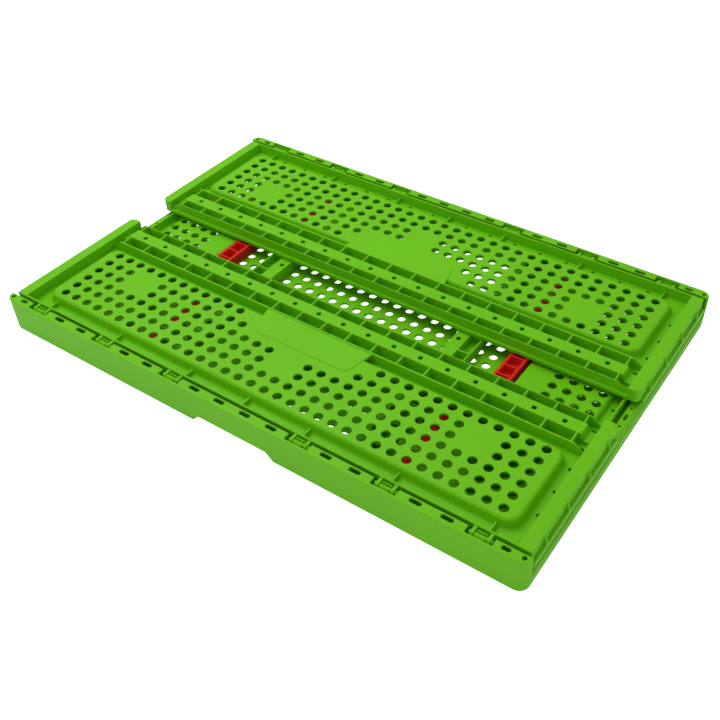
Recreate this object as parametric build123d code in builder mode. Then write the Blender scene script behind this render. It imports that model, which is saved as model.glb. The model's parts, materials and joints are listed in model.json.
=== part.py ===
"""Folding perforated crate, modelled folded flat, in millimetres, +Z up.

The origin is on the ground under the middle of the crate. X runs along the long
sides and Y along the short ones. The long walls lie on top with their outer faces
up, and the end walls lie under them, on the floor of the base. Every wall turns on
pins moulded on its lower edge, which snap into open sockets on the base.

Wall pieces are drawn as they lie at the front (-Y) side, with the hinge along X,
and are then turned about Z to the side where they belong.
"""
from build123d import *
import os

os.makedirs("parts", exist_ok=True)

# Overall sizes
LENGTH = 600.0
WIDTH = 400.0
ERECT_HEIGHT = 203.0
CORNER_R = 10.0

# Moulding thicknesses
SKIN = 2.5
RIB = 1.8
TOUCH_GAP = 0.3

# Levels of the stack, from the ground up
SKIRT_BOTTOM = 3.0
FLOOR_TOP = 11.5
END_WALL_REST_GAP = 1.0
END_WALL_T = 12.1
LONG_WALL_REST_GAP = 1.2
LONG_WALL_T = 14.2
FLOOR_BOTTOM = FLOOR_TOP - SKIN
END_BOTTOM = FLOOR_TOP + END_WALL_REST_GAP
END_TOP = END_BOTTOM + END_WALL_T
LONG_BOTTOM = END_TOP + LONG_WALL_REST_GAP
LONG_TOP = LONG_BOTTOM + LONG_WALL_T

# Hinges: a pin below the outer face and outside the edge of each wall
PIN_R = 2.5
PIN_CLEARANCE = 0.06
PIN_DEPTH = 5.0
PIN_SETBACK = PIN_DEPTH + TOUCH_GAP
PIN_HALF_LENGTH = 11.0
ARM_R = 4.0
ARM_INNER = 6.0
ARM_OUTER = 9.0
SOCKET_R = 4.6
SOCKET_HALF_LENGTH = 5.0
SOCKET_MOUTH = 3.2
STEM_HALF_DEPTH = 3.0
NOTCH_HALF_WIDTH = 12.5

# Base rims
LONG_STRIP_W = 10.0
LONG_GROOVE = 3.5
SHORT_STRIP_W = 11.5
SHORT_GROOVE = 4.5
SHORT_TOP = 19.0
SHORT_SLOPE_W = 4.5
SHORT_SLOPE_H = 5.0
SLOT_LENGTH = 12.0
SLOT_WIDTH = 4.4
SLOT_INSET = 6.3
SMALL_SLOT_LENGTH = 8.5
SMALL_SLOT_X = LENGTH / 2 - 22.0
CORNER_HOLE_X = LENGTH / 2 - 6.0
CORNER_HOLE_R = 2.2
END_SLOT_LENGTH = 9.0
END_SLOT_WIDTH = 3.0
END_SLOT_INSET = 8.0
END_SLOT_OFFSET = 9.0
END_HOLE_STEP = 13.5
END_RIM_HOLE_R = 1.4
SKIRT_NOTCH_HALF = 48.0
SKIRT_NOTCH_H = 8.0

# Pitches of the ribs, slots and holes along the two sides
RIM_PITCH_X = 30.0
RIM_PITCH_Y = 29.2
HOLE_PITCH_X = 15.55
HOLE_PITCH_Y = 15.13
HOLE_R = 4.5
LONG_HINGES = (2, 5, 8)
LONG_SLOTS = (0, 1, 3, 4, 6, 7)
LONG_RIM_RIBS = 9
END_HINGES = (2, 5)
END_SLOTS = (3, 4)
END_RIM_RIBS = (2, 3, 4, 5, 6)

# Hinge axes, and the edges of the walls that follow from them
LONG_EDGE = WIDTH / 2 - LONG_STRIP_W - LONG_GROOVE
LONG_AXIS = LONG_EDGE + PIN_SETBACK
LONG_AXIS_Z = LONG_TOP - PIN_DEPTH
LONG_TIP = LONG_AXIS - (ERECT_HEIGHT - LONG_AXIS_Z)
END_EDGE = LENGTH / 2 - SHORT_STRIP_W - SHORT_GROOVE
END_AXIS = END_EDGE + PIN_SETBACK
END_AXIS_Z = END_TOP - PIN_DEPTH
END_TIP = END_AXIS - (ERECT_HEIGHT - END_AXIS_Z)

# Long walls, measured across the wall from the middle of the crate
FLANGE_T = 1.8
CHANNEL_T = 2.6
LIP = 2.8
LIP_H = 4.0
RIM_BACK = LONG_TIP + LIP
TIP_WALL_T = 1.1
POCKET_FLOOR = 1.0
RIM_POCKETS = 18
POCKET_1_W = 9.9
STRIP_W = 14.1
POCKET_2_W = 12.1
POCKET_1 = RIM_BACK + TIP_WALL_T
STRIP_IN = POCKET_1 + POCKET_1_W
STRIP_OUT = STRIP_IN + STRIP_W
RIM_FRONT = STRIP_OUT + POCKET_2_W + FLANGE_T
STRIP_HOLE = STRIP_IN + 7.4
STRIP_HOLE_R = 2.5
RIM_HALF = RIM_POCKETS / 2 * RIM_PITCH_X + RIB / 2
FIN_FLAT = 2.6
FIN_DROP = 7.5
FIN_REACH = 12.0
PLATEAU_REACH = 6.0
PAD_DROP = 1.9
PAD_INSET = 6.0
PAD_IN = RIM_FRONT + PAD_INSET
PAD_OUT = LONG_EDGE - 15.2
PAD_HALF = LENGTH / 2 - 25.0
PAD_CORNER_R = 15.0
PAD_DRAFT = 20.0
PAD_EDGE_R = 4.5
PAD_FOOT_R = 4.0
FIRST_HOLE_ROW = RIM_FRONT + 17.0
HOLE_COLUMNS = 34
HOLE_ROWS = int((PAD_OUT - FIRST_HOLE_ROW - HOLE_R) / HOLE_PITCH_Y) + 1
BLANKS = {
    0: range(12, 22),
    1: [3, 4, *range(13, 21), 29, 30],
    2: [3, 4, 16, 17, 29, 30],
    3: [16, 17],
}
GUSSETS_X = (0.0, 70.0, 163.7, 256.8)
GUSSET_H = 5.1
GRIP_TOP_HALF = 63.5
GRIP_BOTTOM_HALF = 57.0
GRIP_DEPTH = 33.5
GRIP_CORNER_R = 9.0
GRIP_RISE = 0.8
DRAIN_R = 1.8
DRAIN_PITCH = 31.2
DRAIN_FIRST = 22.5
DRAIN_COUNT = 8
DRAIN_INSET = 4.6
SIDE_DRAIN_INSET = 3.9
SIDE_DRAINS = (84.0, 113.3, 142.6)
RIM_DRAIN_INSET = 5.4
RIM_DRAIN_LENGTH = 5.0
RIM_DRAIN_WIDTH = 2.8

# Flanges that close the ends of the long walls
END_FLANGE_IN = LENGTH / 2 - 15.7
END_FLANGE_OUT = LENGTH / 2 - 0.4
END_STRIP_W = 12.1
END_RIB_DROP = 7.5
END_RIB_PITCH = 39.6
END_RIBS = 4
END_RIB_FIRST = LONG_TIP + 21.8
END_TIP_R = 6.0
END_LIP_BOTTOM = 22.0

# End walls, measured from the middle of the crate
SIDE_CLEARANCE = 1.1
END_HALF = LONG_AXIS - (LONG_AXIS_Z - LONG_BOTTOM) - SIDE_CLEARANCE
END_STRIP_OUT = END_TIP + 13.9
END_POCKET_W = 12.0
END_RIM_FRONT = END_STRIP_OUT + END_POCKET_W + FLANGE_T
END_STRIP_HOLE = END_TIP + 6.0
END_RIM_POCKETS = 12
LATCH_W = 18.4
LATCH_IN = END_RIM_FRONT + 31.7
LATCH_OUT = LATCH_IN + LATCH_W
LATCH_HALF = 70.0
END_PAD_IN = LATCH_OUT + 0.9
END_PAD_OUT = END_EDGE - 11.0
END_PAD_HALF = END_HALF - 13.0
END_PAD_DROP = 2.9
END_DRAIN_INSET = 6.0
END_HOLE_FIRST = END_PAD_IN + 34.0
END_HOLE_PITCH = 14.97
END_HOLE_COLUMNS = int((END_PAD_OUT - END_HOLE_FIRST - HOLE_R) / END_HOLE_PITCH) + 1
END_HOLE_ROWS = 22

# Latch bars of the end walls
LATCH_TOP = END_TOP - 0.2
LATCH_RAIL = 3.0
LATCH_RUNG_PITCH = 14.6
LATCH_CELLS = 9
LATCH_WEB_Z = END_BOTTOM + 2.4
LATCH_HOLE_R = 1.6
ARM_T = 3.2
ARM_IN = LATCH_IN - 18.3
ARM_W = 11.0
ARM_BOTTOM = END_BOTTOM + 2.3
BOLT_REACH = 3.6
LATCH_TRAVEL = 7.0
SHOULDER_W = 8.0
GUIDES_AT = (92.0, 130.0, 168.0)
GUIDE_W = 6.0

# Stacking foot and the ribs under the floor
FOOT_INSET = 12.0
FOOT_LENGTH = LENGTH - 2 * FOOT_INSET
FOOT_WIDTH = WIDTH - 2 * FOOT_INSET
FOOT_T = 2.5
FOOT_CORNER_R = 8.0
FLOOR_RIB_H = 5.0
FLOOR_RIBS_X = (0, 4, 8, 12, 16)
FLOOR_RIBS_Y = (0, 4, 8)
FLOOR_COLUMNS = 36
FLOOR_ROWS = 24


def block(x0, x1, y0, y1, z0, z1, mode=Mode.ADD):
    """A box between two corners, added to or cut from the part being built."""
    with Locations(((x0 + x1) / 2, (y0 + y1) / 2, (z0 + z1) / 2)):
        Box(x1 - x0, y1 - y0, z1 - z0, mode=mode)


def twin_blocks(x0, x1, y0, y1, z0, z1, mode=Mode.ADD):
    """The same box on the +X side and, mirrored, on the -X side."""
    block(x0, x1, y0, y1, z0, z1, mode)
    block(-x1, -x0, y0, y1, z0, z1, mode)


def both_sides(indices, pitch):
    """Places at half pitches on both sides of the middle."""
    places = [(n + 0.5) * pitch for n in indices]
    return sorted([-place for place in places] + places)


LONG_HINGES_AT = both_sides(LONG_HINGES, RIM_PITCH_X)
LONG_SLOTS_AT = both_sides(LONG_SLOTS, RIM_PITCH_X)
END_HINGES_AT = both_sides(END_HINGES, RIM_PITCH_Y)
END_SLOTS_AT = [END_SLOT_OFFSET, *both_sides(END_SLOTS, RIM_PITCH_Y)]


def save(piece, name, turn=0):
    """Turn a piece to its side of the crate, label it and write its STEP file."""
    placed = piece.rotate(Axis.Z, turn) if turn else piece
    placed.label = name
    export_step(placed, f"parts/{name}.step")


# ---- Base ----------------------------------------------------------------

def base_floor():
    """The perforated floor, which fills the base between its rims."""
    with BuildPart() as floor:
        with BuildSketch(Plane.XY.offset(FLOOR_BOTTOM)):
            RectangleRounded(LENGTH - 2 * SKIN, WIDTH - 2 * SKIN, CORNER_R - SKIN)
            with GridLocations(HOLE_PITCH_X, HOLE_PITCH_Y, FLOOR_COLUMNS, FLOOR_ROWS):
                Circle(HOLE_R, mode=Mode.SUBTRACT)
        extrude(amount=SKIN)
    return floor.part


def base_long_foot():
    """Front side of the foot that nests in the crate below, with both its corners."""
    with BuildPart() as foot:
        with BuildSketch(Plane.XY):
            RectangleRounded(FOOT_LENGTH, FOOT_WIDTH, FOOT_CORNER_R)
            RectangleRounded(FOOT_LENGTH - 2 * FOOT_T, FOOT_WIDTH - 2 * FOOT_T,
                             FOOT_CORNER_R - FOOT_T, mode=Mode.SUBTRACT)
            with Locations((0, FOOT_CORNER_R)):
                Rectangle(FOOT_LENGTH, FOOT_WIDTH, mode=Mode.SUBTRACT)
        extrude(amount=FLOOR_BOTTOM)
    return foot.part


def base_short_foot():
    """End side of the foot, drawn at the front and turned to the end."""
    half = FOOT_WIDTH / 2 - FOOT_CORNER_R
    with BuildPart() as foot:
        block(-half, half, -FOOT_LENGTH / 2, FOOT_T - FOOT_LENGTH / 2, 0, FLOOR_BOTTOM)
    return foot.part


def base_floor_ribs():
    """Ribs between the rows of floor holes, from one side of the foot to the other."""
    rib_bottom = FLOOR_BOTTOM - FLOOR_RIB_H
    with BuildPart() as ribs:
        for n in FLOOR_RIBS_X:
            x = n * HOLE_PITCH_X
            for side in {x, -x}:
                block(side - RIB / 2, side + RIB / 2, FOOT_T - FOOT_WIDTH / 2,
                      FOOT_WIDTH / 2 - FOOT_T, rib_bottom, FLOOR_BOTTOM)
        for n in FLOOR_RIBS_Y:
            y = n * HOLE_PITCH_Y
            for side in {y, -y}:
                block(FOOT_T - FOOT_LENGTH / 2, FOOT_LENGTH / 2 - FOOT_T,
                      side - RIB / 2, side + RIB / 2, rib_bottom, FLOOR_BOTTOM)
    return ribs.part


def base_long_rim():
    """Front rim: the skirt with both corners, and the strip that carries the wall."""
    strip_in = -WIDTH / 2 + LONG_STRIP_W
    slot_y = -WIDTH / 2 + SLOT_INSET
    with BuildPart() as rim:
        with BuildSketch(Plane.XY.offset(SKIRT_BOTTOM)):
            RectangleRounded(LENGTH, WIDTH, CORNER_R)
            with Locations((0, LONG_STRIP_W)):
                Rectangle(LENGTH, WIDTH, mode=Mode.SUBTRACT)
        extrude(amount=LONG_TOP - SKIRT_BOTTOM)
        with BuildSketch(Plane.XY.offset(SKIRT_BOTTOM)):
            RectangleRounded(LENGTH - 2 * SKIN, WIDTH - 2 * SKIN, CORNER_R - SKIN)
        extrude(amount=LONG_TOP - SKIN - SKIRT_BOTTOM, mode=Mode.SUBTRACT)
        for n in range(1, LONG_RIM_RIBS + 1):
            twin_blocks(n * RIM_PITCH_X - RIB / 2, n * RIM_PITCH_X + RIB / 2,
                        SKIN - WIDTH / 2, strip_in, FLOOR_TOP, LONG_TOP - SKIN)
        for x in LONG_HINGES_AT:
            block(x - NOTCH_HALF_WIDTH, x + NOTCH_HALF_WIDTH, SKIN - WIDTH / 2,
                  strip_in, LONG_TOP - SKIN, LONG_TOP, mode=Mode.SUBTRACT)
        with BuildSketch(Plane.XY.offset(LONG_TOP)):
            with Locations(*[(x, slot_y) for x in LONG_SLOTS_AT]):
                SlotOverall(SLOT_LENGTH, SLOT_WIDTH)
            with Locations((SMALL_SLOT_X, slot_y), (-SMALL_SLOT_X, slot_y)):
                SlotOverall(SMALL_SLOT_LENGTH, SLOT_WIDTH)
            with Locations((CORNER_HOLE_X, slot_y), (-CORNER_HOLE_X, slot_y)):
                Circle(CORNER_HOLE_R)
        extrude(amount=-SKIN, mode=Mode.SUBTRACT)
        with BuildSketch(Plane.XZ.offset(WIDTH / 2)):
            with BuildLine():
                Polyline((-SKIRT_NOTCH_HALF, SKIRT_BOTTOM),
                         (SKIRT_NOTCH_H - SKIRT_NOTCH_HALF, SKIRT_BOTTOM + SKIRT_NOTCH_H),
                         (SKIRT_NOTCH_HALF - SKIRT_NOTCH_H, SKIRT_BOTTOM + SKIRT_NOTCH_H),
                         (SKIRT_NOTCH_HALF, SKIRT_BOTTOM), close=True)
            make_face()
        extrude(amount=-SKIN, mode=Mode.SUBTRACT)
    return rim.part


def base_short_rim():
    """End rim, lower than the long ones, drawn at the front and turned to the end."""
    half = WIDTH / 2 - LONG_STRIP_W
    outer = -LENGTH / 2
    strip_in = outer + SHORT_STRIP_W
    slot_y = outer + END_SLOT_INSET
    slope_bottom = SHORT_TOP - SHORT_SLOPE_H
    with BuildPart() as rim:
        with BuildSketch(Plane.YZ.offset(-half)):
            with BuildLine():
                Polyline((outer, SKIRT_BOTTOM), (outer, slope_bottom),
                         (outer + SHORT_SLOPE_W, SHORT_TOP), (strip_in, SHORT_TOP),
                         (strip_in, SHORT_TOP - SKIN),
                         (outer + SHORT_SLOPE_W, SHORT_TOP - SKIN),
                         (outer + SKIN, slope_bottom), (outer + SKIN, SKIRT_BOTTOM),
                         close=True)
            make_face()
        extrude(amount=2 * half)
        for n in END_RIM_RIBS:
            twin_blocks(n * RIM_PITCH_Y - RIB / 2, n * RIM_PITCH_Y + RIB / 2,
                        outer + SHORT_SLOPE_W, strip_in, FLOOR_TOP, SHORT_TOP - SKIN)
            twin_blocks(n * RIM_PITCH_Y - RIB / 2, n * RIM_PITCH_Y + RIB / 2,
                        outer + SKIN, outer + SHORT_SLOPE_W, FLOOR_TOP, slope_bottom)
        for x in END_HINGES_AT:
            block(x - NOTCH_HALF_WIDTH, x + NOTCH_HALF_WIDTH, outer + SHORT_SLOPE_W,
                  strip_in, SHORT_TOP - SKIN, SHORT_TOP, mode=Mode.SUBTRACT)
        with BuildSketch(Plane.XY.offset(SHORT_TOP)):
            with Locations(*[(x, slot_y) for x in END_SLOTS_AT]):
                SlotOverall(END_SLOT_LENGTH, END_SLOT_WIDTH)
            with Locations((END_SLOT_OFFSET - END_HOLE_STEP, slot_y),
                           (END_SLOT_OFFSET + END_HOLE_STEP, slot_y)):
                Circle(END_RIM_HOLE_R)
        extrude(amount=-SKIN, mode=Mode.SUBTRACT)
    return rim.part


def hinge_sockets(places, axis_y, axis_z):
    """Open clips on stems, one for each hinge pin along the front of the base."""
    with BuildPart() as sockets:
        for x in places:
            block(x - SOCKET_HALF_LENGTH, x + SOCKET_HALF_LENGTH,
                  -axis_y - STEM_HALF_DEPTH, -axis_y + STEM_HALF_DEPTH, FLOOR_TOP, axis_z)
            with Locations((x, -axis_y, axis_z)):
                Cylinder(SOCKET_R, 2 * SOCKET_HALF_LENGTH, rotation=(0, 90, 0))
        for x in places:
            with Locations((x, -axis_y, axis_z)):
                Cylinder(PIN_R + PIN_CLEARANCE, 2 * SOCKET_HALF_LENGTH,
                         rotation=(0, 90, 0), mode=Mode.SUBTRACT)
            block(x - SOCKET_HALF_LENGTH, x + SOCKET_HALF_LENGTH,
                  -axis_y - SOCKET_MOUTH / 2, -axis_y + SOCKET_MOUTH / 2,
                  axis_z, axis_z + SOCKET_R, mode=Mode.SUBTRACT)
    return sockets.part


# ---- Pieces that both kinds of wall have ----------------------------------

def hinge_pins(places, axis_y, axis_z, edge_y):
    """Pins with two arms each, moulded on the hinge edge of a wall."""
    with BuildPart() as pins:
        for x in places:
            for inner, outer in ((ARM_INNER, ARM_OUTER), (-ARM_OUTER, -ARM_INNER)):
                middle = x + (inner + outer) / 2
                with Locations((middle, -axis_y, axis_z)):
                    Cylinder(ARM_R, ARM_OUTER - ARM_INNER, rotation=(0, 90, 0))
                block(x + inner, x + outer, -axis_y, -edge_y,
                      axis_z - ARM_R, axis_z + ARM_R)
            with Locations((x, -axis_y, axis_z)):
                Cylinder(PIN_R, 2 * PIN_HALF_LENGTH, rotation=(0, 90, 0))
    return pins.part


def pad_solid(half, inner, outer, bottom, top, corner_r, edge_r=0.0):
    """A slab with drafted sides; the raised pads are one slab less a smaller one."""
    with BuildPart() as pad:
        with BuildSketch(Plane.XY.offset(bottom)):
            with Locations((0, -(inner + outer) / 2)):
                RectangleRounded(2 * half, outer - inner, corner_r)
        extrude(amount=top - bottom, taper=PAD_DRAFT)
        if edge_r:
            fillet(pad.faces().sort_by(Axis.Z)[-1].edges(), edge_r)
    return pad.part


# ---- Long walls ------------------------------------------------------------

def long_wall_panel():
    """The channel, the perforated pad with its grip plate, and the hinge flange."""
    channel_top = LONG_BOTTOM + CHANNEL_T
    pad_top = LONG_TOP - PAD_DROP
    pad = pad_solid(PAD_HALF, PAD_IN, PAD_OUT, channel_top, pad_top,
                    PAD_CORNER_R, PAD_EDGE_R)
    hollow = pad_solid(PAD_HALF - SKIN, PAD_IN + SKIN, PAD_OUT - SKIN, LONG_BOTTOM,
                       pad_top - SKIN, PAD_CORNER_R - SKIN)
    with BuildPart() as panel:
        block(-END_FLANGE_IN, END_FLANGE_IN, -LONG_EDGE, -RIM_FRONT,
              LONG_BOTTOM, channel_top)
        add(pad)
        level = panel.edges().filter_by_position(Axis.Z, channel_top, channel_top)
        fillet([edge for edge in level if abs(edge.center().X) <= PAD_HALF
                and PAD_IN <= -edge.center().Y <= PAD_OUT], PAD_FOOT_R)
        add(hollow, mode=Mode.SUBTRACT)
        block(-END_FLANGE_IN, END_FLANGE_IN, -LONG_EDGE, FLANGE_T - LONG_EDGE,
              LONG_BOTTOM, LONG_TOP)
        with BuildSketch(Plane.XY.offset(pad_top - SKIN)) as grip:
            with BuildLine():
                Polyline((-GRIP_TOP_HALF, -RIM_FRONT), (GRIP_TOP_HALF, -RIM_FRONT),
                         (GRIP_BOTTOM_HALF, -RIM_FRONT - GRIP_DEPTH),
                         (-GRIP_BOTTOM_HALF, -RIM_FRONT - GRIP_DEPTH), close=True)
            make_face()
            fillet(grip.vertices().group_by(Axis.Y)[0], GRIP_CORNER_R)
        extrude(amount=SKIN + GRIP_RISE)
        for x in GUSSETS_X:
            for side in {x, -x}:
                block(side - RIB / 2, side + RIB / 2, FLANGE_T - LONG_EDGE,
                      SKIN / 2 - PAD_OUT, channel_top, channel_top + GUSSET_H)
        with BuildSketch(Plane.XY.offset(LONG_TOP)):
            for row in range(HOLE_ROWS):
                y = -FIRST_HOLE_ROW - row * HOLE_PITCH_Y
                for column in range(HOLE_COLUMNS):
                    if column not in BLANKS.get(row, ()):
                        x = (column - (HOLE_COLUMNS - 1) / 2) * HOLE_PITCH_X
                        with Locations((x, y)):
                            Circle(HOLE_R)
            for n in range(DRAIN_COUNT):
                x = DRAIN_FIRST + n * DRAIN_PITCH
                with Locations((x, DRAIN_INSET - LONG_EDGE), (-x, DRAIN_INSET - LONG_EDGE)):
                    Circle(DRAIN_R)
            for y in SIDE_DRAINS:
                x = END_FLANGE_IN - SIDE_DRAIN_INSET
                with Locations((x, -y), (-x, -y)):
                    Circle(DRAIN_R)
        extrude(amount=-LONG_WALL_T, mode=Mode.SUBTRACT)
    return panel.part


def long_wall_top_rim():
    """The pocketed rim that becomes the top edge of the wall, with fins at its ends."""
    channel_top = LONG_BOTTOM + CHANNEL_T
    pocket_length = RIM_PITCH_X - RIB
    fin_top = LONG_TOP - FIN_DROP
    drain_x = END_FLANGE_IN - RIM_DRAIN_INSET
    with BuildPart() as rim:
        block(-RIM_HALF, RIM_HALF, -RIM_FRONT, -RIM_BACK, LONG_BOTTOM, LONG_TOP)
        block(-END_FLANGE_IN, END_FLANGE_IN, -RIM_FRONT, -RIM_BACK,
              LONG_BOTTOM, channel_top)
        block(-END_FLANGE_IN, END_FLANGE_IN, -RIM_BACK, -LONG_TIP,
              LONG_BOTTOM, LONG_BOTTOM + LIP_H)
        for low, high, reach in ((RIM_BACK, POCKET_1, FIN_REACH),
                                 (STRIP_IN, STRIP_OUT, PLATEAU_REACH),
                                 (RIM_FRONT - FLANGE_T, RIM_FRONT, FIN_REACH)):
            with BuildSketch(Plane.XZ.offset(high)):
                for side in (1, -1):
                    with BuildLine():
                        Polyline((side * RIM_HALF, channel_top),
                                 (side * END_FLANGE_IN, channel_top),
                                 (side * END_FLANGE_IN, fin_top),
                                 (side * (RIM_HALF + reach), fin_top),
                                 (side * (RIM_HALF + FIN_FLAT), LONG_TOP),
                                 (side * RIM_HALF, LONG_TOP), close=True)
                    make_face()
            extrude(amount=low - high)
        middles = [-(POCKET_1 + STRIP_IN) / 2, -(STRIP_OUT + RIM_FRONT - FLANGE_T) / 2]
        widths = [POCKET_1_W, POCKET_2_W]
        for middle, width in zip(middles, widths):
            with BuildSketch(Plane.XY.offset(LONG_TOP)):
                with Locations((0, middle)):
                    with GridLocations(RIM_PITCH_X, 1, RIM_POCKETS, 1):
                        Rectangle(pocket_length, width)
            extrude(amount=LONG_BOTTOM + POCKET_FLOOR - LONG_TOP, mode=Mode.SUBTRACT)
        with BuildSketch(Plane.XY.offset(LONG_BOTTOM)):
            with Locations((0, -(STRIP_IN + STRIP_OUT) / 2)):
                with GridLocations(RIM_PITCH_X, 1, RIM_POCKETS, 1):
                    Rectangle(pocket_length, STRIP_W - 2 * FLANGE_T)
        extrude(amount=LONG_WALL_T - SKIN, mode=Mode.SUBTRACT)
        with BuildSketch(Plane.XY.offset(LONG_TOP)):
            with Locations((0, -STRIP_HOLE)):
                with GridLocations(RIM_PITCH_X, 1, RIM_POCKETS, 1):
                    Circle(STRIP_HOLE_R)
            for y in middles:
                with Locations((drain_x, y), (-drain_x, y)):
                    SlotOverall(RIM_DRAIN_LENGTH, RIM_DRAIN_WIDTH)
        extrude(amount=-LONG_WALL_T, mode=Mode.SUBTRACT)
    return rim.part


def long_wall_end_flange():
    """The ribbed flange at the right end of a long wall, with the bolt pocket."""
    strip_out = END_FLANGE_IN + END_STRIP_W
    channel_top = LONG_BOTTOM + CHANNEL_T
    bolt_at = LONG_AXIS - (END_AXIS - ARM_IN - ARM_W / 2 + END_AXIS_Z - LONG_AXIS_Z)
    with BuildPart() as flange:
        block(END_FLANGE_IN, strip_out, -LONG_EDGE, -LONG_TIP, LONG_BOTTOM, LONG_TOP)
        fillet(flange.edges().filter_by(Axis.Z).group_by(Axis.Y)[-1].sort_by(Axis.X)[-1],
               END_TIP_R)
        block(strip_out, END_FLANGE_OUT, -LONG_EDGE, -LONG_TIP - END_TIP_R,
              LONG_BOTTOM, channel_top)
        block(END_FLANGE_IN + RIB, strip_out - RIB, FLANGE_T - LONG_EDGE,
              -LONG_TIP - END_TIP_R, LONG_BOTTOM, LONG_TOP - SKIN, mode=Mode.SUBTRACT)
        block(END_FLANGE_IN, END_FLANGE_IN + RIB, -bolt_at - ARM_W, -bolt_at + ARM_W,
              LONG_BOTTOM, channel_top, mode=Mode.SUBTRACT)
        for n in range(END_RIBS):
            y = -END_RIB_FIRST - n * END_RIB_PITCH
            with BuildSketch(Plane.XZ.offset(-y - RIB / 2)):
                with BuildLine():
                    Polyline((strip_out, channel_top), (END_FLANGE_OUT, channel_top),
                             (END_FLANGE_OUT, LONG_TOP - END_RIB_DROP),
                             (strip_out, LONG_TOP), close=True)
                make_face()
            extrude(amount=RIB)
    return flange.part


def long_wall_end_lip():
    """The lip under the right end flange, which reaches round the raised end wall."""
    with BuildPart() as lip:
        block(END_FLANGE_OUT - RIB, END_FLANGE_OUT, -LONG_EDGE, -LONG_TIP - END_TIP_R,
              END_LIP_BOTTOM, LONG_BOTTOM)
    return lip.part


# ---- End walls, drawn at the front and turned to the ends ------------------

def end_wall_panel():
    """The perforated pad, its channel, and the flanges round the lower wall."""
    channel_top = END_BOTTOM + CHANNEL_T
    pad_top = END_TOP - END_PAD_DROP
    pad = pad_solid(END_PAD_HALF, END_PAD_IN, END_PAD_OUT, channel_top, pad_top,
                    PAD_CORNER_R, PAD_EDGE_R)
    hollow = pad_solid(END_PAD_HALF - SKIN, END_PAD_IN + SKIN, END_PAD_OUT - SKIN,
                       END_BOTTOM, pad_top - SKIN, PAD_CORNER_R - SKIN)
    with BuildPart() as panel:
        block(-END_HALF, END_HALF, -END_EDGE, -END_PAD_IN, END_BOTTOM, channel_top)
        add(pad)
        add(hollow, mode=Mode.SUBTRACT)
        block(-END_HALF, END_HALF, -END_EDGE, FLANGE_T - END_EDGE, END_BOTTOM, END_TOP)
        twin_blocks(END_HALF - FLANGE_T, END_HALF, -END_EDGE, -END_PAD_IN,
                    END_BOTTOM, END_TOP)
        with BuildSketch(Plane.XY.offset(END_TOP)):
            middle = -END_HOLE_FIRST - (END_HOLE_COLUMNS - 1) / 2 * END_HOLE_PITCH
            with Locations((0, middle)):
                with GridLocations(HOLE_PITCH_Y, END_HOLE_PITCH, END_HOLE_ROWS,
                                   END_HOLE_COLUMNS):
                    Circle(HOLE_R)
            with Locations((0, END_DRAIN_INSET - END_EDGE)):
                with GridLocations(RIM_PITCH_Y, 1, END_RIM_POCKETS, 1):
                    Circle(DRAIN_R)
        extrude(amount=-END_WALL_T, mode=Mode.SUBTRACT)
    return panel.part


def end_wall_top_rim():
    """The strip and pockets that become the top edge of the end wall."""
    channel_top = END_BOTTOM + CHANNEL_T
    with BuildPart() as rim:
        block(-END_HALF, END_HALF, -END_RIM_FRONT, -END_TIP, END_BOTTOM, END_TOP)
        with BuildSketch(Plane.XY.offset(END_TOP)):
            with Locations((0, -END_STRIP_OUT - END_POCKET_W / 2)):
                with GridLocations(RIM_PITCH_Y, 1, END_RIM_POCKETS, 1):
                    Rectangle(RIM_PITCH_Y - RIB, END_POCKET_W)
        extrude(amount=channel_top - END_TOP, mode=Mode.SUBTRACT)
        with BuildSketch(Plane.XY.offset(END_BOTTOM)):
            with Locations((0, -(END_TIP + END_STRIP_OUT) / 2)):
                with GridLocations(RIM_PITCH_Y, 1, END_RIM_POCKETS, 1):
                    Rectangle(RIM_PITCH_Y - RIB, END_STRIP_OUT - END_TIP - 2 * FLANGE_T)
        extrude(amount=END_WALL_T - SKIN, mode=Mode.SUBTRACT)
        with BuildSketch(Plane.XY.offset(END_TOP)):
            with Locations((0, -END_STRIP_HOLE)):
                with GridLocations(RIM_PITCH_Y, 1, END_RIM_POCKETS, 1):
                    Circle(STRIP_HOLE_R)
        extrude(amount=-SKIN, mode=Mode.SUBTRACT)
    return rim.part


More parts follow.
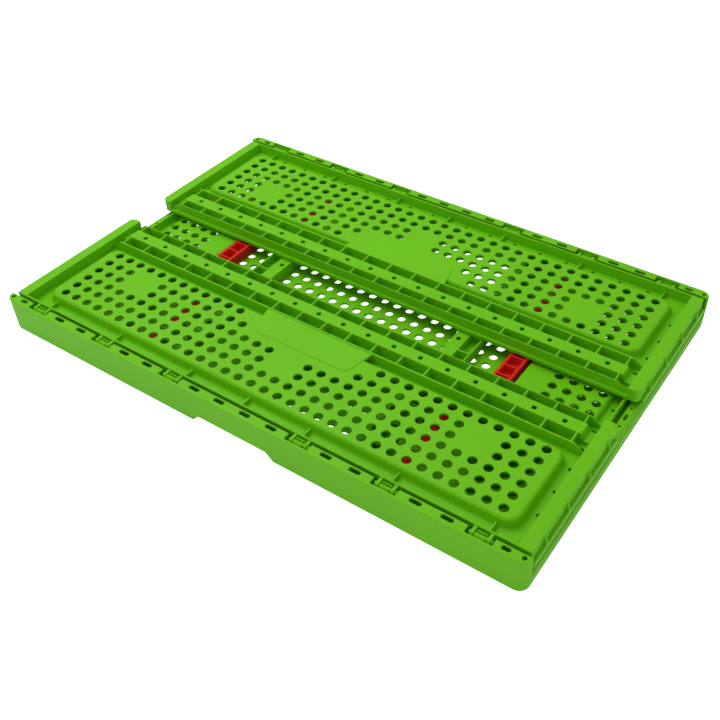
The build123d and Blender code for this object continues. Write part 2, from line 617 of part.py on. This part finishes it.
def end_wall_latch_guide():
    """The plates on each side of the hand hole, with guides for the latch arms."""
    plate_top = ARM_BOTTOM - TOUCH_GAP
    guide_bottom = ARM_BOTTOM + ARM_T + TOUCH_GAP
    grip_side = LATCH_HALF + SHOULDER_W / 2
    slide_in = ARM_IN - LATCH_TRAVEL - 2 * TOUCH_GAP
    slide_out = ARM_IN + ARM_W + 2 * TOUCH_GAP
    grip_reach = LATCH_IN - LATCH_TRAVEL - 2 * TOUCH_GAP
    with BuildPart() as guide:
        twin_blocks(LATCH_HALF - SHOULDER_W, END_HALF, -grip_reach, -END_RIM_FRONT,
                    END_BOTTOM, plate_top)
        twin_blocks(grip_side, END_HALF, -END_PAD_IN, -grip_reach,
                    END_BOTTOM, plate_top)
        twin_blocks(END_HALF - FLANGE_T, END_HALF, -END_PAD_IN, -END_RIM_FRONT,
                    END_BOTTOM, END_TOP)
        twin_blocks(END_HALF - FLANGE_T, END_HALF, -slide_out, -slide_in,
                    plate_top, guide_bottom, mode=Mode.SUBTRACT)
        twin_blocks(grip_side, grip_side + RIB, -END_PAD_IN, -slide_out, plate_top, END_TOP)
        for x in GUIDES_AT:
            twin_blocks(x - GUIDE_W / 2, x + GUIDE_W / 2, -slide_out - SKIN, -slide_out,
                        plate_top, guide_bottom)
            twin_blocks(x - GUIDE_W / 2, x + GUIDE_W / 2, -slide_in, -slide_in + SKIN,
                        plate_top, guide_bottom)
            twin_blocks(x - GUIDE_W / 2, x + GUIDE_W / 2, -slide_out - SKIN,
                        -slide_in + SKIN, guide_bottom, guide_bottom + SKIN)
    return guide.part


def latch_bar():
    """The sliding latch: a ladder grip with a shoulder and a bolt arm at each end."""
    opening = LATCH_W - 2 * LATCH_RAIL
    with BuildPart() as bar:
        block(-LATCH_HALF, LATCH_HALF, -LATCH_OUT, -LATCH_IN, END_BOTTOM, LATCH_TOP)
        with BuildSketch(Plane.XY.offset(LATCH_TOP)):
            with Locations((0, -(LATCH_IN + LATCH_OUT) / 2)):
                with GridLocations(LATCH_RUNG_PITCH, 1, LATCH_CELLS, 1):
                    Rectangle(LATCH_RUNG_PITCH - RIB, opening)
        extrude(amount=LATCH_WEB_Z - LATCH_TOP, mode=Mode.SUBTRACT)
        with BuildSketch(Plane.XY.offset(LATCH_WEB_Z)):
            with Locations((0, -(LATCH_IN + LATCH_OUT) / 2)):
                with GridLocations(LATCH_RUNG_PITCH, 1, LATCH_CELLS, 1):
                    Circle(LATCH_HOLE_R)
        extrude(amount=END_BOTTOM - LATCH_WEB_Z, mode=Mode.SUBTRACT)
        twin_blocks(LATCH_HALF - SHOULDER_W, LATCH_HALF, -LATCH_IN, -ARM_IN,
                    ARM_BOTTOM, LATCH_TOP)
        twin_blocks(LATCH_HALF - SHOULDER_W, END_HALF + BOLT_REACH, -ARM_IN - ARM_W,
                    -ARM_IN, ARM_BOTTOM, ARM_BOTTOM + ARM_T)
    return bar.part


def build_all():
    """Make every piece and write it in its place on the folded crate."""
    save(base_floor(), "base_floor")
    save(base_floor_ribs(), "base_floor_ribs")

    long_foot = base_long_foot()
    long_rim = base_long_rim()
    long_sockets = hinge_sockets(LONG_HINGES_AT, LONG_AXIS, LONG_AXIS_Z)
    long_panel = long_wall_panel()
    long_top = long_wall_top_rim()
    right_flange = long_wall_end_flange()
    left_flange = mirror(right_flange, about=Plane.YZ)
    right_lip = long_wall_end_lip()
    left_lip = mirror(right_lip, about=Plane.YZ)
    long_pins = hinge_pins(LONG_HINGES_AT, LONG_AXIS, LONG_AXIS_Z, LONG_EDGE)
    for side, turn in (("front", 0), ("back", 180)):
        save(long_foot, f"base_{side}_foot", turn)
        save(long_rim, f"base_{side}_rim", turn)
        save(long_sockets, f"{side}_hinge_sockets", turn)
        save(long_panel, f"{side}_wall_panel", turn)
        save(long_top, f"{side}_wall_top_rim", turn)
        save(long_pins, f"{side}_wall_hinge_pins", turn)
        outer, other = ("right", "left") if side == "front" else ("left", "right")
        save(right_flange, f"{side}_wall_{outer}_flange", turn)
        save(left_flange, f"{side}_wall_{other}_flange", turn)
        save(right_lip, f"{side}_wall_{outer}_lip", turn)
        save(left_lip, f"{side}_wall_{other}_lip", turn)

    short_foot = base_short_foot()
    short_rim = base_short_rim()
    end_sockets = hinge_sockets(END_HINGES_AT, END_AXIS, END_AXIS_Z)
    end_panel = end_wall_panel()
    end_top = end_wall_top_rim()
    end_guide = end_wall_latch_guide()
    end_pins = hinge_pins(END_HINGES_AT, END_AXIS, END_AXIS_Z, END_EDGE)
    end_latch = latch_bar()
    for side, turn in (("right", 90), ("left", -90)):
        save(short_foot, f"base_{side}_foot", turn)
        save(short_rim, f"base_{side}_rim", turn)
        save(end_sockets, f"{side}_hinge_sockets", turn)
        save(end_panel, f"{side}_wall_panel", turn)
        save(end_top, f"{side}_wall_top_rim", turn)
        save(end_guide, f"{side}_wall_latch_guide", turn)
        save(end_pins, f"{side}_wall_hinge_pins", turn)
        save(end_latch, f"{side}_latch_bar", turn)

    print(f"folded height {LONG_TOP:.1f}, erect height {ERECT_HEIGHT:.1f}")
    print(f"long hinge axis y {LONG_AXIS:.2f} z {LONG_AXIS_Z:.2f}")
    print(f"end hinge axis x {END_AXIS:.2f} z {END_AXIS_Z:.2f}")


build_all()
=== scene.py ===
"""Folding perforated crate: its finished mouldings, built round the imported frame."""
import json
import math

import bmesh
import bpy
from bpy.props import FloatProperty, FloatVectorProperty, IntProperty, PointerProperty
from mathutils import Matrix, Vector


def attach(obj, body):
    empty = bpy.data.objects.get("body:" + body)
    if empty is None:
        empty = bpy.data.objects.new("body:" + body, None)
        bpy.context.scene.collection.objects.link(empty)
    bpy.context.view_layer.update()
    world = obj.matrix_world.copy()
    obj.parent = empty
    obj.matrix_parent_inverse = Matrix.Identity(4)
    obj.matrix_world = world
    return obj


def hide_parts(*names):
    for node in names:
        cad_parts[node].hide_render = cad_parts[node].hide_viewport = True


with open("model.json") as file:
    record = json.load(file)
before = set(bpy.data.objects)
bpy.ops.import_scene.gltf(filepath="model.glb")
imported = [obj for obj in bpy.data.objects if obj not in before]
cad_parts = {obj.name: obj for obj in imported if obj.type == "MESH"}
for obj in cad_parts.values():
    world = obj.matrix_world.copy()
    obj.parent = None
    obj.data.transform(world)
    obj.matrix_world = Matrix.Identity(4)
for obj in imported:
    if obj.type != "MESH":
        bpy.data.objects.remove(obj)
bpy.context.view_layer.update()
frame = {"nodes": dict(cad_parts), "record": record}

bl_info = {
    "name": "Folding crate",
    "version": (1, 0, 0),
    "blender": (4, 5, 0),
    "location": "View3D > Sidebar > Crate",
    "description": "Fused and softened mouldings of a folding perforated crate",
    "category": "Add Mesh",
}

SHELL_SLOT, LATCH_SLOT = "crate_green", "latch_red"
RECORD_COLOURS = {m["slot"]: m["base_color"] for m in frame["record"]["materials"]}

# Vertices nearer than this are one vertex
MERGE_DISTANCE = 2e-6
# Faces that turn less than this are one flat face
FLAT_ANGLE = math.radians(0.5)
# Edges that turn more than this get a radius
EDGE_ANGLE = math.radians(30)
# Faces with more corners than this are cut up before they are rounded
MOST_CORNERS = 4
# A rounded edge is an arc, and normals follow the largest faces
ARC_PROFILE = 0.5
FACE_WEIGHT = 100

# Polypropylene
PLASTIC_IOR = 1.49
GRAIN_STRENGTH = 0.35
DRIFT_DETAIL, GRAIN_DETAIL = 2, 3
# Noise values between which a ramp runs
NOISE_LOW, NOISE_HIGH = 0.3, 0.7

# Studio
WHITE = (1, 1, 1, 1)
FLOOR_COLOUR = (0.9, 0.9, 0.9, 1)
FLOOR_ROUGHNESS = 0.9


# ---- Sizes and colours -------------------------------------------------------

class CrateFinish(bpy.types.PropertyGroup):
    """Colours and surface of the moulded plastic."""

    shell_colour: FloatVectorProperty(
        name="Shell colour", description="Colour of the base and the walls",
        subtype="COLOR", size=3, min=0, max=1, default=(0.150, 0.54, 0.004))
    latch_colour: FloatVectorProperty(
        name="Latch colour", description="Colour of the latch bars",
        subtype="COLOR", size=3, min=0, max=1, default=RECORD_COLOURS[LATCH_SLOT])
    shade_change: FloatProperty(
        name="Shade change", description="How far the colour drifts over a moulding",
        min=0, max=0.5, default=0.07)
    drift_size: FloatProperty(
        name="Drift size", description="Distance over which the colour drifts",
        unit="LENGTH", min=0.001, default=0.09)
    grain_size: FloatProperty(
        name="Grain size", description="Size of the grain of the mould",
        unit="LENGTH", min=0.0001, default=0.0009)
    grain_depth: FloatProperty(
        name="Grain depth", description="Depth of the grain of the mould",
        unit="LENGTH", min=0, default=0.00003)
    smooth_roughness: FloatProperty(
        name="Smooth roughness", description="Roughness where the mould was polished",
        min=0, max=1, default=0.36)
    dull_roughness: FloatProperty(
        name="Dull roughness", description="Roughness where the mould was dull",
        min=0, max=1, default=0.52)
    specular_level: FloatProperty(
        name="Specular level", description="Strength of the reflection of the plastic",
        min=0, max=1, default=0.14)
    edge_radius: FloatProperty(
        name="Edge radius", description="Radius of every moulded edge",
        unit="LENGTH", min=0, default=0.0004)
    edge_steps: IntProperty(
        name="Edge steps", description="Faces across the radius of an edge",
        min=1, max=4, default=2)


class CrateStage(bpy.types.PropertyGroup):
    """Floor, light and camera."""

    floor_size: FloatProperty(
        name="Floor size", description="Length of each side of the floor",
        unit="LENGTH", min=1, default=16)
    floor_glow: FloatProperty(
        name="Floor glow", description="Light that the floor gives by itself",
        min=0, default=0.22)
    backdrop_glow: FloatProperty(
        name="Backdrop glow", description="Extra light of the floor as the camera sees it",
        min=0, default=1.0)
    sky_strength: FloatProperty(
        name="Sky strength", description="Even light from all round", min=0, default=0.52)
    softbox_power: FloatProperty(
        name="Softbox power", description="Power of the light overhead",
        unit="POWER", min=0, default=11)
    softbox_size: FloatProperty(
        name="Softbox size", description="Length of each side of the light overhead",
        unit="LENGTH", min=0.1, default=1.1)
    softbox_place: FloatVectorProperty(
        name="Softbox place", description="Where the light overhead hangs",
        subtype="TRANSLATION", unit="LENGTH", size=3, default=(-0.55, 0.1, 1.3))
    lens: FloatProperty(
        name="Lens", description="Focal length in millimetres on a 36 mm sensor",
        min=10, default=46.64)
    sideways_shift: FloatProperty(
        name="Sideways shift", description="Shift of the view, as a part of its width",
        default=-0.0431)
    azimuth: FloatProperty(
        name="Azimuth", description="How far the camera stands to the right of the front",
        subtype="ANGLE", default=math.radians(34.41))
    elevation: FloatProperty(
        name="Elevation", description="Height angle of the camera",
        subtype="ANGLE", default=math.radians(42.04))
    roll: FloatProperty(
        name="Roll", description="Tilt of the camera about its own line of sight",
        subtype="ANGLE", default=math.radians(-0.76))
    distance: FloatProperty(
        name="Distance", description="From the camera to the point it looks at",
        unit="LENGTH", min=0.1, default=0.9518)
    target: FloatVectorProperty(
        name="Target", description="The point that the camera looks at",
        subtype="TRANSLATION", unit="LENGTH", size=3, default=(0.0523, -0.0172, -0.010))


# ---- Materials -----------------------------------------------------------------

def ramp_between(nodes, links, factor, low, high):
    """A value that runs from low to high as the noise goes up."""
    node = nodes.new("ShaderNodeMapRange")
    node.inputs["From Min"].default_value = NOISE_LOW
    node.inputs["From Max"].default_value = NOISE_HIGH
    node.inputs["To Min"].default_value = low
    node.inputs["To Max"].default_value = high
    links.new(factor, node.inputs["Value"])
    return node.outputs["Result"]


def noise(nodes, links, place, size, detail):
    """Noise with features of about the given size in metres."""
    node = nodes.new("ShaderNodeTexNoise")
    node.inputs["Scale"].default_value = 1 / size
    node.inputs["Detail"].default_value = detail
    links.new(place, node.inputs["Vector"])
    return node.outputs["Fac"]


def moulded_plastic(name, colour):
    """Satin polypropylene with a fine mould grain and a slow drift of shade."""
    finish = bpy.context.scene.crate_finish
    material = bpy.data.materials.get(name)
    if material:
        return material
    material = bpy.data.materials.new(name)
    material.use_nodes = True
    nodes, links = material.node_tree.nodes, material.node_tree.links
    shader = nodes["Principled BSDF"]
    shader.inputs["IOR"].default_value = PLASTIC_IOR
    shader.inputs["Specular IOR Level"].default_value = finish.specular_level
    place = nodes.new("ShaderNodeTexCoord").outputs["Object"]

    drift = noise(nodes, links, place, finish.drift_size, DRIFT_DETAIL)
    mix = nodes.new("ShaderNodeMix")
    mix.data_type = "RGBA"
    shade = 1 - finish.shade_change
    mix.inputs["A"].default_value = (*(c * shade for c in colour), 1)
    mix.inputs["B"].default_value = (*(min(1, c / shade) for c in colour), 1)
    links.new(drift, mix.inputs["Factor"])
    links.new(mix.outputs["Result"], shader.inputs["Base Color"])

    grain = noise(nodes, links, place, finish.grain_size, GRAIN_DETAIL)
    links.new(ramp_between(nodes, links, grain, finish.smooth_roughness,
                           finish.dull_roughness), shader.inputs["Roughness"])
    bump = nodes.new("ShaderNodeBump")
    bump.inputs["Strength"].default_value = GRAIN_STRENGTH
    bump.inputs["Distance"].default_value = finish.grain_depth
    links.new(grain, bump.inputs["Height"])
    links.new(bump.outputs["Normal"], shader.inputs["Normal"])
    return material


def shell_plastic():
    return moulded_plastic("green_polypropylene", bpy.context.scene.crate_finish.shell_colour)


def latch_plastic():
    return moulded_plastic("red_polypropylene", bpy.context.scene.crate_finish.latch_colour)


def pale_floor():
    """A matt white floor that glows a little, and looks blank to the camera."""
    stage = bpy.context.scene.crate_stage
    material = bpy.data.materials.new("pale_floor")
    material.use_nodes = True
    nodes, links = material.node_tree.nodes, material.node_tree.links
    shader = nodes["Principled BSDF"]
    shader.inputs["Base Color"].default_value = FLOOR_COLOUR
    shader.inputs["Roughness"].default_value = FLOOR_ROUGHNESS
    shader.inputs["Emission Color"].default_value = WHITE
    glow = nodes.new("ShaderNodeMath")
    glow.operation = "MULTIPLY_ADD"
    glow.inputs[1].default_value = stage.backdrop_glow
    glow.inputs[2].default_value = stage.floor_glow
    links.new(nodes.new("ShaderNodeLightPath").outputs["Is Camera Ray"], glow.inputs[0])
    links.new(glow.outputs["Value"], shader.inputs["Emission Strength"])
    return material


# ---- Mouldings -------------------------------------------------------------------

def merged_copy(node):
    """A scratch object with a CAD node's mesh, its loose triangles joined."""
    mesh = frame["nodes"][node].data.copy()
    bm = bmesh.new()
    bm.from_mesh(mesh)
    bmesh.ops.remove_doubles(bm, verts=bm.verts, dist=MERGE_DISTANCE)
    bm.to_mesh(mesh)
    bm.free()
    copy = bpy.data.objects.new("scratch_" + node, mesh)
    bpy.context.scene.collection.objects.link(copy)
    return copy


def fuse(nodes):
    """One mesh from the CAD nodes of one moulding, with no seams between them."""
    copies = [merged_copy(node) for node in nodes]
    for other in copies[1:]:
        union = copies[0].modifiers.new("fuse", "BOOLEAN")
        union.operation = "UNION"
        union.solver = "MANIFOLD"
        union.object = other
    evaluated = copies[0].evaluated_get(bpy.context.evaluated_depsgraph_get())
    mesh = bpy.data.meshes.new_from_object(evaluated)
    for copy in copies:
        bpy.data.objects.remove(copy)
    if not mesh.polygons:
        raise RuntimeError(f"fusing {nodes} left nothing")
    return mesh


def soften(mesh):
    """Join coplanar faces and round every sharp edge of a mesh."""
    finish = bpy.context.scene.crate_finish
    bm = bmesh.new()
    bm.from_mesh(mesh)
    bmesh.ops.remove_doubles(bm, verts=bm.verts, dist=MERGE_DISTANCE)
    bmesh.ops.dissolve_limit(bm, angle_limit=FLAT_ANGLE, verts=bm.verts, edges=bm.edges)
    bmesh.ops.triangulate(bm, faces=[f for f in bm.faces if len(f.verts) > MOST_CORNERS])
    sharp = [e for e in bm.edges if e.is_manifold and e.calc_face_angle() > EDGE_ANGLE]
    bmesh.ops.bevel(bm, geom=sharp, offset=finish.edge_radius, offset_type="OFFSET",
                    segments=finish.edge_steps, profile=ARC_PROFILE, affect="EDGES",
                    clamp_overlap=False, material=-1)
    for face in bm.faces:
        face.smooth = True
    bm.to_mesh(mesh)
    bm.free()


def add_piece(name, mesh, body, material, nodes):
    """Show a mesh as a piece on a body, in place of the CAD nodes it stands for."""
    mesh.name = name
    mesh.materials.clear()
    mesh.materials.append(material)
    piece = bpy.data.objects.new(name, mesh)
    bpy.context.scene.collection.objects.link(piece)
    weights = piece.modifiers.new("flat faces stay flat", "WEIGHTED_NORMAL")
    weights.keep_sharp = False
    weights.weight = FACE_WEIGHT
    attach(piece, body)
    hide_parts(*nodes)
    return piece


def moulding(name, body, material, nodes):
    """A finished piece made from the CAD nodes of one moulding."""
    mesh = fuse(nodes)
    soften(mesh)
    return add_piece(name, mesh, body, material, nodes)


def opposite(piece, name, body, nodes):
    """The same moulding on the other side of the crate, turned half a turn."""
    mesh = piece.data.copy()
    mesh.transform(Matrix.Rotation(math.pi, 4, "Z"))
    return add_piece(name, mesh, body, piece.data.materials[0], nodes)


def body_nodes(body):
    """The names of the CAD nodes of a body, in order."""
    return sorted(frame["record"]["behaviour"]["bodies"][body])


class CRATE_OT_mould_base(bpy.types.Operator):
    """Make the base: one moulding with rims, foot and hinge sockets, and its floor"""

    bl_idname = "crate.mould_base"
    bl_label = "Base"

    def execute(self, context):
        plastic = shell_plastic()
        floors = [node for node in body_nodes("base") if node == "base_floor"]
        rims = [node for node in body_nodes("base") if node not in floors]
        moulding("base_moulding", "base", plastic, rims)
        for node in floors:
            floor = frame["nodes"][node]
            floor.data.materials.clear()
            floor.data.materials.append(plastic)
        return {"FINISHED"}


class CRATE_OT_mould_long_walls(bpy.types.Operator):
    """Make the two long walls, which lie on top with their outer faces up"""

    bl_idname = "crate.mould_long_walls"
    bl_label = "Long walls"

    def execute(self, context):
        front = moulding("front_wall_moulding", "front_wall",
                         shell_plastic(), body_nodes("front_wall"))
        opposite(front, "back_wall_moulding", "back_wall",
                 body_nodes("back_wall"))
        return {"FINISHED"}


class CRATE_OT_mould_end_walls(bpy.types.Operator):
    """Make the two end walls, which lie under the long walls"""

    bl_idname = "crate.mould_end_walls"
    bl_label = "End walls"

    def execute(self, context):
        right = moulding("right_wall_moulding", "right_wall",
                         shell_plastic(), body_nodes("right_wall"))
        opposite(right, "left_wall_moulding", "left_wall",
                 body_nodes("left_wall"))
        return {"FINISHED"}


class CRATE_OT_mould_latches(bpy.types.Operator):
    """Make the two sliding latch bars"""

    bl_idname = "crate.mould_latches"
    bl_label = "Latch bars"

    def execute(self, context):
        right = moulding("right_latch_moulding", "right_latch",
                         latch_plastic(), body_nodes("right_latch"))
        opposite(right, "left_latch_moulding", "left_latch",
                 body_nodes("left_latch"))
        return {"FINISHED"}


# ---- Stage -------------------------------------------------------------------------

def look_matrix(place, aim, roll=0.0):
    """Stand at a place and look at a point, turned about the line of sight."""
    back = (place - aim).normalized()
    right = Vector((0, 0, 1)).cross(back).normalized()
    up = back.cross(right)
    tilted_right = right * math.cos(roll) + up * math.sin(roll)
    tilted_up = up * math.cos(roll) - right * math.sin(roll)
    turn = Matrix((tilted_right, tilted_up, back)).transposed()
    return Matrix.Translation(place) @ turn.to_4x4()


class CRATE_OT_set_stage(bpy.types.Operator):
    """Make the floor, the light and the camera"""

    bl_idname = "crate.set_stage"
    bl_label = "Stage"

    def execute(self, context):
        scene, stage = context.scene, context.scene.crate_stage
        mesh = bpy.data.meshes.new("studio_floor")
        bm = bmesh.new()
        bmesh.ops.create_grid(bm, x_segments=1, y_segments=1, size=stage.floor_size / 2)
        bm.to_mesh(mesh)
        bm.free()
        mesh.materials.append(pale_floor())
        floor = bpy.data.objects.new("studio_floor", mesh)
        scene.collection.objects.link(floor)

        world = bpy.data.worlds.new("studio_sky")
        world.use_nodes = True
        sky = world.node_tree.nodes["Background"]
        sky.inputs["Color"].default_value = WHITE
        sky.inputs["Strength"].default_value = stage.sky_strength
        scene.world = world

        lamp = bpy.data.lights.new("softbox", "AREA")
        lamp.energy = stage.softbox_power
        lamp.size = stage.softbox_size
        softbox = bpy.data.objects.new("softbox", lamp)
        softbox.matrix_world = look_matrix(Vector(stage.softbox_place), Vector((0, 0, 0)))
        scene.collection.objects.link(softbox)

        lens = bpy.data.cameras.new("camera")
        lens.lens = stage.lens
        lens.shift_x = stage.sideways_shift
        camera = bpy.data.objects.new("camera", lens)
        level = math.cos(stage.elevation)
        back = Vector((math.sin(stage.azimuth) * level, -math.cos(stage.azimuth) * level,
                       math.sin(stage.elevation)))
        aim = Vector(stage.target)
        camera.matrix_world = look_matrix(aim + back * stage.distance, aim, stage.roll)
        scene.collection.objects.link(camera)
        scene.camera = camera
        scene.view_settings.view_transform = "Standard"
        return {"FINISHED"}


class CRATE_PT_sidebar(bpy.types.Panel):
    """The steps that make the crate, with their sizes and colours"""

    bl_label = "Folding crate"
    bl_space_type = "VIEW_3D"
    bl_region_type = "UI"
    bl_category = "Crate"

    def draw(self, context):
        for group in (context.scene.crate_finish, context.scene.crate_stage):
            box = self.layout.box()
            for key in group.bl_rna.properties.keys():
                if key not in ("rna_type", "name"):
                    box.prop(group, key)
        for step in STEPS:
            self.layout.operator(step.bl_idname)


STEPS = (CRATE_OT_mould_base, CRATE_OT_mould_long_walls, CRATE_OT_mould_end_walls,
         CRATE_OT_mould_latches, CRATE_OT_set_stage)
CLASSES = (CrateFinish, CrateStage, *STEPS, CRATE_PT_sidebar)


def register():
    for cls in CLASSES:
        bpy.utils.register_class(cls)
    bpy.types.Scene.crate_finish = PointerProperty(type=CrateFinish)
    bpy.types.Scene.crate_stage = PointerProperty(type=CrateStage)


def unregister():
    del bpy.types.Scene.crate_stage
    del bpy.types.Scene.crate_finish
    for cls in reversed(CLASSES):
        bpy.utils.unregister_class(cls)


def main():
    register()
    bpy.ops.crate.mould_base()
    bpy.ops.crate.mould_long_walls()
    bpy.ops.crate.mould_end_walls()
    bpy.ops.crate.mould_latches()
    bpy.ops.crate.set_stage()


if __name__ == "__main__":
    main()
